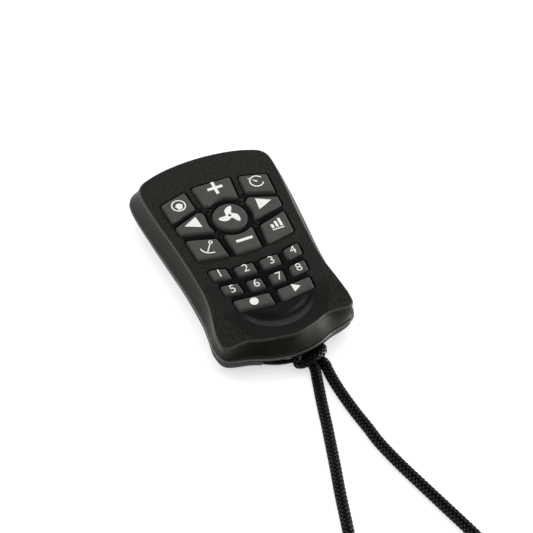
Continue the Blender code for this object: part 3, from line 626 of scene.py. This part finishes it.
def braid_height(turn, travel):
    """From 0 in a valley to 1 on a crown of the braid, at an angle (in turns) and in cells."""
    u = BRAID_CARRIERS * turn + travel + BRAID_PHASE
    v = BRAID_CARRIERS * turn - travel + BRAID_PHASE
    over = (np.floor(u) + np.floor(v)) % 2 == 0
    fu = np.abs(2 * (u % 1) - 1)
    fv = np.abs(2 * (v % 1) - 1)
    across = np.where(over, fu, fv)
    lengthwise = np.where(over, fv, fu)
    return np.sqrt(np.clip(1 - across ** 2, 0, 1)) * (1 - lengthwise ** 4)


def braided(name, points, radii):
    """A braided cord along points that are already evenly spaced."""
    side, lift = transported(points)
    travel = np.arange(len(points)) / BRAID_STEPS
    turn = np.arange(CORD_SIDES) / CORD_SIDES
    height = braid_height(turn[None, :], travel[:, None])
    radius = np.broadcast_to(radii, len(points))[:, None] * (1 - BRAID_DEPTH * (1 - height))
    angle = (2 * math.pi * turn)[None, :, None]
    around = side[:, None, :] * np.cos(angle) + lift[:, None, :] * np.sin(angle)
    skin = Skin()
    skin.solid(list(points[:, None, :] + radius[:, :, None] * around))
    level = (height[:-1] + height[1:]) / 2
    level = (level + np.roll(level, -1, 1)) / 2
    # faces in the braid's valleys take the near-black finish: painted shade
    skin.slots[:level.size] = (level < BRAID_SHADE_LEVEL).astype(int).ravel().tolist()
    return skin.make(name, "cord_nylon", "cord_gap_painted_shade", sharp_angle=180)


def coil_points():
    """Clockwise turns: outer and inner on the floor, then inner and outer on top of them."""
    def passed(winding, stretch):
        return smoothstep((winding - stretch[0]) / stretch[1])

    outer, inner = COIL_RADII
    low, high = COIL_LAYERS
    arch, arch_at, arch_width = TIE_ARCH
    points = []
    for winding in COIL_WINDINGS:
        inwards = passed(winding, COIL_INWARDS) - passed(winding, COIL_OUTWARDS)
        radius = outer + (inner - outer) * inwards
        height = low + (high - low) * passed(winding, COIL_CLIMB)
        under_tie = (winding - arch_at + 180) % 360 - 180
        height += arch * math.exp(-(under_tie / arch_width) ** 2)
        angle = math.radians(-winding)
        points.append((COIL_CENTRE[0] + radius * math.cos(angle),
                       COIL_CENTRE[1] + radius * math.sin(angle), float(height)))
    return points


def build_lanyard():
    path = resampled(ROUTE_RIGHT + coil_points() + [COIL_EXIT] + ROUTE_LEFT[::-1])
    cord = braided("lanyard_cord", path, CORD_D / 2 * CORD_FULLNESS)
    tag(cord, "case", "cord", "lanyard_strand_left", "lanyard_strand_right", "lanyard_coil")
    track = resampled(HITCH_ROUTE)
    hitch = braided("lanyard_cow_hitch", track[:, :3], track[:, 3])
    tag(hitch, "case", "cord", "lanyard_hitch")
    tie = build_tie()
    bar = bar_tube("lanyard_bar_moulding", BAR_END, BAR_D, 49, "bar_plastic")
    tag(bar, "case", "bar_plastic", "lanyard_bar")


def build_tie():
    """A hook-and-loop strap round the coil at its far side, with its free end lapped over."""
    low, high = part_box("lanyard_tie")
    x = (low.x + high.x) / 2 / MM
    near, far = high.y / MM, low.y / MM
    top = high.z / MM + TIE_LIFT
    width, thick = TIE
    centre = ((near + far) / 2, top / 2)
    half = ((near - far) / 2, top / 2)
    outer = rounded_box(half, 0, TIE_RADII[0])
    inner = rounded_box(half, -thick, TIE_RADII[1])
    levels = [(x - width / 2, TIE_EDGE), (x - width / 2 + TIE_EDGE, 0.0),
              (x + width / 2 - TIE_EDGE, 0.0), (x + width / 2, TIE_EDGE)]
    sides = [(at, -inset, outer) for at, inset in levels]
    sides += [(at, inset, inner) for at, inset in reversed(levels)]
    skin = Skin()
    skin.rings([[(at, centre[0] + p[0] * (1 + inset / half[0]),
                  centre[1] + p[1] * (1 + inset / half[1])) for p in outline]
                for at, inset, outline in sides], closed=True)
    half_length, radius, shift = LAP
    lap = rounded_box((width / 2 - 0.4, half_length), 0, radius)
    skin.solid([ring((grown(lap, amount) if amount else lap) + (x, centre[0] + shift), top + lift)
                for amount, lift in LAP_RINGS])
    strap = skin.make("lanyard_tie_strap", "tie_webbing", sharp_angle=40)
    return tag(strap, "case", "tie", "lanyard_tie")


def bar_tube(name, reach, diameter, stations, *looks):
    """A round rod along the lanyard bar's bowed line."""
    x = np.linspace(-reach, reach, stations)
    line = np.column_stack([x, BAR_CREST_Y + BAR_BOW * x ** 2, np.full(len(x), BAR_Z)])
    angle = 2 * math.pi * np.arange(BAR_SIDES) / BAR_SIDES
    return loft(name, [p + diameter / 2 * (np.outer(np.cos(angle), s) + np.outer(np.sin(angle), u))
                       for p, s, u in zip(line, *transported(line))], *looks, sharp_angle=40)


# ---- key outlines
def key_outline(corners, clear=ROUND_CLEAR):
    """A key's outline with round corners, cut back to the circle round the round key."""
    corners = np.array(corners, float)
    area = sum(a[0] * b[1] - b[0] * a[1] for a, b in zip(corners, np.roll(corners, -1, 0)))
    if area < 0:
        corners = corners[::-1]
    points = []
    most, steps = KEY_CORNER
    for before, corner, after in zip(np.roll(corners, 1, 0), corners, np.roll(corners, -1, 0)):
        to_before, to_after = norm(before - corner), norm(after - corner)
        u = (before - corner) / to_before
        v = (after - corner) / to_after
        half_angle = math.acos(np.clip(u @ v, -1, 1)) / 2
        run = min(KEY_RADIUS / math.tan(half_angle), most * to_before, most * to_after)
        start, end = corner + u * run, corner + v * run
        points.extend(start * (1 - t) ** 2 + corner * 2 * t * (1 - t) + end * t ** 2
                      for t in np.linspace(0, 1, steps))
    dense = []
    for a, b in zip(points, points[1:] + points[:1]):
        pieces = max(1, round(norm(b - a) / KEY_SPACING))
        dense.extend(a + (b - a) * k / pieces for k in range(pieces))
    dense = np.array(dense)
    dense *= np.maximum(1, clear / np.hypot(*dense.T))[:, None]
    for _ in range(2):
        dense = (np.roll(dense, 1, 0) + 2 * dense + np.roll(dense, -1, 0)) / 4
    return dense + ROUND_KEY


def key_outlines():
    shapes = {name: key_outline(corners, clear) for name, (clear, corners) in MIDDLE_KEYS.items()}
    for (left, right), corners in SIDE_KEYS.items():
        shapes[right] = key_outline(corners)
        shapes[left] = key_outline([(-x, y) for x, y in corners])
    shapes["key_prop"] = circle(ROUND_KEY_D / 2, 96, ROUND_KEY)
    return shapes


KEYS = key_outlines()


# ---- front shell and bead
def scoop_depth(points):
    outer_x, outer_y, outer_radius = SCOOP_OUTER
    inner_x, inner_y, inner_radius = SCOOP_INNER
    outwards = outer_radius - np.hypot(points[:, 0] - outer_x, points[:, 1] - outer_y)
    inwards = np.hypot(points[:, 0] - inner_x, points[:, 1] - inner_y) - inner_radius
    wall = 1 - (1 - np.clip(outwards / SCOOP_SLOPES[0], 0, 1)) ** 2
    fade = smoothstep((SCOOP_ENDS[0] - np.abs(points[:, 0])) / SCOOP_ENDS[1])
    below = points[:, 1] < outer_y
    return SCOOP_DEPTH * wall * smoothstep(inwards / SCOOP_SLOPES[1]) * fade * below


def face_height(points):
    """Height of the face: flat, fallen at the lower end, hollowed by the thumb rest."""
    return FACE_Z - fallen(points[:, 1]) - scoop_depth(points)


def face_points(lines):
    """Points for the face between its edge and the holes, finer at the thumb rest."""
    fixed = np.vstack(lines)
    crescent = arc(SCOOP_OUTER[2], 180, 360, 73, SCOOP_OUTER)
    points = [crescent[nearest(crescent, fixed) > 0.4]]
    for spacing, low, high in FACE_GRIDS:
        points.append([(x + (spacing / 2 if k % 2 else 0), y)
                       for k, y in enumerate(np.arange(low, high, spacing * 0.87))
                       for x in np.arange(-GRID_HALF, GRID_HALF, spacing)])
    points = np.vstack(points)
    points = points[inside(points, lines[0])]
    for hole in lines[1:]:
        points = points[~inside(points, hole)]
    kept = []
    taken = {}
    for p in points:
        if np.min(np.hypot(*(fixed - p).T)) <= BORDER_APART:
            continue
        cell = (int(p[0] // GRID_CELL), int(p[1] // GRID_CELL))
        near = [taken.get((cell[0] + i, cell[1] + j)) for i in (-1, 0, 1) for j in (-1, 0, 1)]
        if all(q is None or math.hypot(*(p - q)) > GRID_APART for q in near):
            taken[cell] = p
            kept.append(p)
    return np.vstack([fixed, kept])


def face_sheet():
    """The face's points and triangles, and the loops of its edge and of each opening."""
    lines = [shrink(FACE, FACE_INSET)]
    lines += [grown(outline, OPENING_GAP + OPENING_RIM[0][0]) for outline in KEYS.values()]
    places = []
    edges = []
    for line in lines:
        start, count = len(edges), len(line)
        places.append(range(start, start + count))
        edges += [(start + k, start + (k + 1) % count) for k in range(count)]
    points = [Vector(p) for p in face_points(lines)]
    result = geometry.delaunay_2d_cdt(points, edges, [], 0, 1e-5)
    flat = np.array([tuple(p) for p in result[0]])
    triangles = np.array(result[2])
    middles = flat[triangles].mean(1)
    wanted = inside(middles, lines[0])
    for hole in lines[1:]:
        wanted &= ~inside(middles, hole)
    stands = {original: index for index, originals in enumerate(result[3])
              for original in originals}
    return flat, triangles[wanted], [[stands[k] for k in place] for place in places]


def face_slots(middles):
    """The finish of each triangle of the face, from its middle; triangles between keys take painted
    shade.
    """
    field = np.array(SMOOTH_FIELD + [(-x, y) for x, y in reversed(SMOOTH_FIELD)], float)
    reach = np.sort([nearest(middles, outline) for outline in KEYS.values()], axis=0)
    # triangles lying close between keys are painted dark: painted shade
    painted_shade_strip = (reach[0] + reach[1] < STRIP[0]) | (reach[2] < STRIP[1])
    return np.select([painted_shade_strip, inside(middles, field), middles[:, 1] < GRIT_BELOW],
                     [PAINTED_SHADE_SLOT, FIELD_SLOT, GRIT_SLOT], FACE_SLOT).tolist()


def outer_wall():
    """Rings up the outside: a small foot over the bead, a slightly hollow wall, a soft edge."""
    rings = [ring(shrink(RIM, inset), FRONT_EDGE_Z + lift - RIM_FALL) for inset, lift in FOOT_RINGS]
    edge = [ring(shrink(FACE, inset), FACE_Z + drop - FACE_FALL) for inset, drop in EDGE_RINGS]
    foot = rings[-1]
    for share in WALL_SHARES:
        between = foot * (1 - share) + edge[0] * share
        between[:, :2] = shrink(between[:, :2], WALL_HOLLOW * 4 * share * (1 - share))
        rings.append(between)
    return rings + edge


def build_front_shell():
    flat, triangles, loops = face_sheet()
    skin = Skin()
    top = skin.add(np.column_stack([flat, face_height(flat)]))
    for triangle, slot in zip(triangles, face_slots(flat[triangles].mean(1))):
        skin.face(top[triangle], slot)
    floor_z = np.minimum(FACE_Z - FACE_WALL - fallen(flat[:, 1], INNER_DROP_START),
                         face_height(flat) - FACE_THIN)
    bottom = skin.add(np.column_stack([flat, floor_z]))
    for triangle in triangles:
        skin.face(bottom[triangle[::-1]], FIELD_SLOT)
    for outline, loop in zip(KEYS.values(), loops[1:]):
        rings = []
        for amount, drop in OPENING_RIM[1:]:
            edge = grown(outline, OPENING_GAP + amount)
            rings.append(skin.add(ring(edge, face_height(edge) + drop)))
        made = [top[loop]] + rings + [bottom[loop]]
        # the opening's walls take the painted shade
        for upper, lower in zip(made, made[1:]):
            skin.bridge(upper, lower, PAINTED_SHADE_SLOT)
    made = [skin.add(r) for r in outer_wall()] + [top[loops[0]]]
    first_edge = len(made) - len(EDGE_RINGS)
    # the rings of the soft edge take the painted highlight, the wall below them the side finish
    for number, (lower, upper) in enumerate(zip(made, made[1:])):
        skin.bridge(lower, upper, HIGHLIGHT_EDGE_SLOT if number >= first_edge else SIDE_SLOT)
    inner = [ring(shrink(RIM, SIDE_WALL), FRONT_EDGE_Z - RIM_FALL),
             ring(shrink(FACE, FACE_ROOT[0]), FACE_Z - FACE_WALL - FACE_ROOT[1] - FACE_FALL)]
    inside_rings = [made[0]] + [skin.add(r) for r in inner] + [bottom[loops[0]]]
    for upper, lower in zip(inside_rings, inside_rings[1:]):
        skin.bridge(lower, upper, FIELD_SLOT)
    outer_r, inner_r, foot, root = BOSS
    for centre in CASE_SCREWS:
        skin.rings([ring(circle(radius, 28, centre), z)
                    for radius, z in ((outer_r, foot), (outer_r, root), (inner_r, root),
                                      (inner_r, foot))], FIELD_SLOT, closed=True)
    shell = skin.make("front_shell_moulding", *SHELL_LOOKS)
    tag(shell, "case", "shell_plastic", "front_shell")


def build_bead():
    low, high = BEAD_Z
    middle, half = (low + high) / 2, (high - low) / 2
    loops = []
    for step in range(BEAD_STEPS + 1):
        angle = math.pi * (0.5 - step / BEAD_STEPS)
        loops.append(ring(shrink(RIM, half * (1 - math.cos(angle))),
                          middle + half * math.sin(angle) - RIM_FALL))
    loops += [ring(shrink(RIM, BEAD_DEPTH), z - RIM_FALL) for z in BEAD_Z]
    skin = Skin()
    skin.rings(loops[::-1], closed=True)
    # the bead's lighter grey is partly a painted highlight
    bead = skin.make("seal_bead_moulding", "bead_rubber", sharp_angle=60)
    tag(bead, "case", "bead_rubber", "seal_bead")


# ---- rear shell and door
def base_rings(profile):
    """Rings from the flat base towards the rim."""
    spread, full_at = BASE_SPREAD
    width = BASE_SCALE[0] + spread * np.clip(RIM[:, 1] / full_at, 0, 1)
    base = np.column_stack([RIM[:, 0] * width, RIM[:, 1] * BASE_SCALE[1]])
    return [ring(RIM * (1 - share) + base * share, z) for share, z in profile]


def pocket_outline(half_x, back):
    """A rectangle from its back out past the lower end."""
    return np.array([(half_x, back), (-half_x, back), (-half_x, -70), (half_x, -70)])


def build_rear_shell():
    pocket_x, pocket_back, roof = POCKET
    loops = base_rings(BACK_PROFILE)
    loops += [ring(shrink(RIM, inset), REAR_EDGE_Z + lift - RIM_FALL) for inset, lift in REAR_LIP]
    loops += [ring(shrink(RIM, inset), TONGUE_Z - RIM_FALL) for inset in TONGUE]
    loops.append(ring(shrink(RIM, TONGUE[1] + 1), TONGUE_Z - PARTING_FALL))
    shell = loft("rear_shell_moulding", loops, "rear_plastic")

    loops = base_rings(HOLLOW_PROFILE) + [ring(shrink(RIM, CAVITY_INSET), TONGUE_Z + 1)]
    cavity = loft("cavity", loops)
    rim, rim_top = DOOR_FLOOR
    cut(cavity, rounded_box(DOOR, rim, 4.0), -1, rim_top)
    cut(cavity, rounded_box(CHAMBER, CHAMBER_WALL, 1.5), -2, TONGUE_Z + 2)
    for centres, (radius, top) in ((CASE_SCREWS, REAR_BOSS), (DOOR_SCREWS, DOOR_BOSS)):
        for centre in centres:
            cut(cavity, circle(radius, 32, centre), -1, top)
    cut(cavity, pocket_outline(pocket_x + POCKET_SIDE, pocket_back + POCKET_WALL), -3, TONGUE_Z + 3)
    boolean(shell, cavity)

    cut(shell, pocket_outline(pocket_x, pocket_back), -1, roof)
    boolean(shell, bar_tube("cutter", BAR_END + TOUCH_GAP, BAR_D + 0.2, 33))
    cut(shell, rounded_box(DOOR, TOUCH_GAP, 3.3), -1, DOOR_THICK + TOUCH_GAP)
    ledge, ledge_top = CHAMBER_LEDGE
    cut(shell, rounded_box(CHAMBER, ledge, 2.0), -2, ledge_top)
    cut(shell, rounded_box(CHAMBER, 0, 0.8), -3, TONGUE_Z + 1)
    for centre in CASE_SCREWS:    # a bore for the head, and one for the shank
        cut(shell, circle(2.8, 32, centre), -1, 7.0)
        cut(shell, circle(1.5, 24, centre), 6, 10.0)
    for centre in DOOR_SCREWS:
        cut(shell, circle(1.3, 24, centre), 0, 7.5)
    shade(shell.data)
    tag(shell, "case", "shell_plastic", "rear_shell")


def build_door():
    """The battery door: soft outer edge, and two countersunk screw holes."""
    outline = rounded_box(DOOR, 0, 3.0)
    loops = [ring(grown(outline, amount) if amount else outline, z) for amount, z in DOOR_RINGS]
    door = loft("battery_door_moulding", loops, "rear_plastic")
    for centre in DOOR_SCREWS:    # a bore for the shank, and a recess for the head
        cut(door, circle(1.3, 24, centre), -1, 4)
        cut(door, circle(2.5, 32, centre), -1, 1.1)
    shade(door.data)
    tag(door, "case", "shell_plastic", "battery_door")


# ---- keys
def build_key(name):
    """A rubber key: skirt under the face, leaning sides, a soft edge and a faint crown."""
    outline = KEYS[name]
    centre = outline.mean(0)
    skin = Skin()
    made = skin.rings([ring(grown(outline, amount), z) for amount, z in KEY_RINGS])
    inner = grown(outline, KEY_RINGS[-1][0])
    for share in CROWN_SHARES:
        loop = skin.add(ring(centre + (inner - centre) * share, KEY_TOP - CROWN_FALL * share))
        skin.bridge(made[-1], loop)
        made.append(loop)
    tip = skin.add([(*centre, KEY_TOP)])[0]
    for a, b in zip(made[-1], np.roll(made[-1], -1)):
        skin.face((a, b, tip))
    narrower, foot_z = KEY_NECK
    neck = grown(outline, narrower)
    under = skin.add(ring(neck, KEY_RINGS[0][1]))
    skin.bridge(under, made[0])
    foot = skin.add(ring(neck, foot_z))
    skin.bridge(foot, under)
    skin.face(reversed(foot))
    tag(skin.make(name + "_cap", "key_rubber", sharp_angle=50), name, "key_rubber", name)


# ---- printed symbols
def new_print(name, kind):
    """A curve as thick as the print."""
    curve = bpy.data.curves.new(name, kind)
    curve.extrude = (PRINT_LIFT[1] - PRINT_LIFT[0]) / 2 * MM
    return curve


def settle_print(name, key, curve, at=(0, 0)):
    """Turn the curve into a mesh on the key's top."""
    source = placed(name, curve)
    graph = bpy.context.evaluated_depsgraph_get()
    mesh = bpy.data.meshes.new_from_object(source.evaluated_get(graph))
    bpy.data.objects.remove(source, do_unlink=True)
    bm = bmesh.new()
    bm.from_mesh(mesh)
    bmesh.ops.remove_doubles(bm, verts=bm.verts[:], dist=0.000002)
    bmesh.ops.translate(bm, verts=bm.verts[:],
                        vec=Vector((*at, KEY_TOP + sum(PRINT_LIFT) / 2)) * MM)
    bm.to_mesh(mesh)
    bm.free()
    mesh.materials.clear()
    mesh.materials.append(LOOK["symbol_print"])
    tag(placed(name, mesh), key, "key_rubber")


def printed(key, outlines, name=None):
    """Flat raised shapes in the key's frame, named after the key; holes run the other way."""
    name = name or key.replace("key_", "symbol_")
    curve = new_print(name, "CURVE")
    curve.dimensions = "2D"
    curve.fill_mode = "BOTH"
    for outline in outlines:
        spline = curve.splines.new("POLY")
        spline.points.add(len(outline) - 1)
        for target, (x, y) in zip(spline.points, outline):
            target.co = (x * MM, y * MM, 0, 1)
        spline.use_cyclic_u = True
    settle_print(name, key, curve)


def build_digit(key, centre):
    curve = new_print("digit", "FONT")
    curve.body = key[-1]
    curve.size = DIGIT_SIZE * MM
    curve.align_x = "CENTER"
    curve.align_y = "CENTER"
    curve.offset = DIGIT_THIN * MM
    settle_print(key.replace("key_", "digit_"), key, curve, centre)


def band(line, width):
    """The outline of a line drawn with a round pen."""
    line = np.array(line, float)
    direction = unit(np.gradient(line, axis=0))
    half = width / 2
    across = np.column_stack([-direction[:, 1], direction[:, 0]]) * half
    caps = []
    for end, way in ((line[-1], direction[-1]), (line[0], -direction[0])):
        turn = math.degrees(math.atan2(way[1], way[0]))
        caps.append(arc(half, turn + 75, turn - 75, 6, end))
    return np.vstack([line + across, caps[0], (line - across)[::-1], caps[1]])


def plus_outline(centre):
    reach, half = PLUS[0] / 2, PLUS[1] / 2
    corner = [(half, half), (half, reach), (-half, reach), (-half, half), (-reach, half),
              (-reach, -half), (-half, -half), (-half, -reach), (half, -reach), (half, -half),
              (reach, -half), (reach, half)]
    return np.array(corner) + centre


def propeller(centre):
    """Three swept blades in one outline."""
    points = []
    for turn in BLADE_TURNS:
        angle = math.radians(turn)
        spin = np.array([(math.cos(angle), math.sin(angle)), (-math.sin(angle), math.cos(angle))])
        points.extend(np.array(BLADE) @ spin)
    return smoothed(points, 5) + centre


def build_symbols():
    for key, centre in DIGITS.items():
        build_digit(key, centre)
    printed("key_speed_up", [plus_outline((0.4, 32.6))])
    printed("key_speed_down", [box(-3.7, -0.7, 3.7, 0.7) + (0.4, 1.6)])
    printed("key_left", [[(-13.9, 20.6), (-20.1, 17.4), (-13.2, 14.3)]])
    printed("key_right", [[(13.9, 20.6), (13.2, 14.3), (20.1, 17.4)]])
    hub = (0.0, 16.0)
    printed("key_prop", [propeller(hub), circle(0.68, 24, hub)[::-1]], "symbol_propeller")

    ring_at = (-18.0, 29.0)
    dome = np.vstack([arc(1.65, 0, 180, 20, (0.1, -0.5)),
                      [(-1.35, -0.9), (-0.9, -1.0), (-1.0, -1.9)],
                      arc(2.2, 250, 305, 10), [(1.3, -1.0)]]) + ring_at
    printed("key_heading",
            [circle(3.2, 48, ring_at), circle(2.62, 40, ring_at)[::-1], dome])

    dial = np.array((18.7, 29.5))
    needle = dial + [(0.5, -0.2), (0.05, 0.45), (-1.6, 1.55), (-1.7, 1.4), (-0.3, -0.35)]
    tick = dial + [(-2.45, 2.2), (-2.6, 2.4), (-2.9, 2.75)]
    printed("key_cruise",
            [band(arc(2.95, 30, 326, 48, dial), 0.6), needle, band(tick, 0.35)])

    eye, crown = np.array((-13.5, 5.4)), np.array((-16.7, 0.9))
    shank = [eye + (crown - eye) * s for s in (0.17, 0.6, 1.0)]
    fluke = [(-18.8, 3.4), (-18.4, 2.2), (-17.7, 1.2), (-16.8, 0.5), (-15.5, 0.0), (-14.0, -0.15)]
    printed("key_anchor", [circle(0.95, 24, eye), circle(0.45, 20, eye)[::-1]])
    printed("key_anchor", [band(shank, 0.5)], "symbol_anchor_shank")
    printed("key_anchor", [band(fluke, 0.55)], "symbol_anchor_fluke")

    rising = [box(x - 0.6, -2.0, x + 0.6, top) for x, top in ((-2.0, 0.1), (0.0, 1.2), (2.0, 2.3))]
    line = box(-2.7, -3.2, 2.7, -2.6)
    printed("key_manual", [shape + (16.3, 4.6) for shape in rising + [line]], "symbol_mode")
    printed("key_record", [circle(1.85, 40, (-9.5, -29.9))])
    printed("key_play", [[(8.0, -27.5), (8.1, -31.7), (11.5, -29.7)]])


# ---- parts inside
def dress_inside():
    for look, starts in INSIDE_LOOKS.items():
        for name, node in NODES.items():
            if not name.startswith(starts):
                continue
            if not node.material_slots:
                node.data.materials.append(LOOK[look])
            for slot in node.material_slots:
                slot.material = LOOK[look]


# ---- floor and light
def build_floor():
    mesh = bpy.data.meshes.new("floor")
    corners = [(x, y, 0) for x, y in box(-6.0, -6.0, 6.0, 6.0).tolist()]
    mesh.from_pydata(corners, [], [(0, 1, 2, 3)])
    finish = Finish("floor_sweep", Roughness=0.9, Specular_IOR_Level=0.1,
                    Emission_Color=(1, 1, 1, 1), Emission_Strength=0.62)
    finish.colour(finish.noise(90.0), (0.44, 0.44, 0.44), (0.46, 0.46, 0.46))
    mesh.materials.append(finish.material)
    floor = placed("floor", mesh)


def softbox(name, place, size, power):
    """A large lamp that faces the controller."""
    data = bpy.data.lights.new(name, "AREA")
    data.shape = "RECTANGLE"
    data.size, data.size_y = size
    data.energy = power
    lamp = placed(name, data)
    lamp.location = place
    lamp.rotation_mode = "QUATERNION"
    lamp.rotation_quaternion = (Vector((0, 0, 0.01)) - Vector(place)).to_track_quat("-Z", "Y")
    return lamp


def build_light():
    """A pale sweep: bright low down at the back and sides, dimmer overhead, dark in front."""
    world = bpy.data.worlds.new("studio")
    world.use_nodes = True
    tree = world.node_tree
    place = add_node(tree, "ShaderNodeTexCoord", {}).outputs["Generated"]
    split = add_node(tree, "ShaderNodeSeparateXYZ", {"Vector": place})
    factors = {}
    for axis, *values in (("Z", 0.34, 0.92, 1.5, 0.02), ("Y", -0.75, -0.1, 0.03, 1.0)):
        inputs = dict(zip(("From Min", "From Max", "To Min", "To Max"), values))
        inputs["Value"] = split.outputs[axis]
        ramp = add_node(tree, "ShaderNodeMapRange", inputs, interpolation_type="SMOOTHSTEP")
        factors[len(factors)] = ramp.outputs["Result"]
    product = add_node(tree, "ShaderNodeMath", factors, operation="MULTIPLY")
    background = tree.nodes["Background"]
    tree.links.new(product.outputs["Value"], background.inputs["Strength"])
    background.inputs["Color"].default_value = (1, 1, 1, 1)
    bpy.context.scene.world = world
    overhead = softbox("overhead_softbox", (0.05, 0.15, 1.5), (2.4, 2.4), 44)
    overhead.visible_glossy = False
    glow = softbox("right_softbox", (0.85, -0.42, 0.12), (0.5, 0.38), 16)
    glow.visible_diffuse = False
    bpy.context.scene.view_settings.view_transform = "Standard"


# ---- all of it
place_camera()
build_lanyard()
build_front_shell()
build_bead()
build_rear_shell()
build_door()
for key_name in KEYS:
    build_key(key_name)
build_symbols()
dress_inside()
build_floor()
build_light()
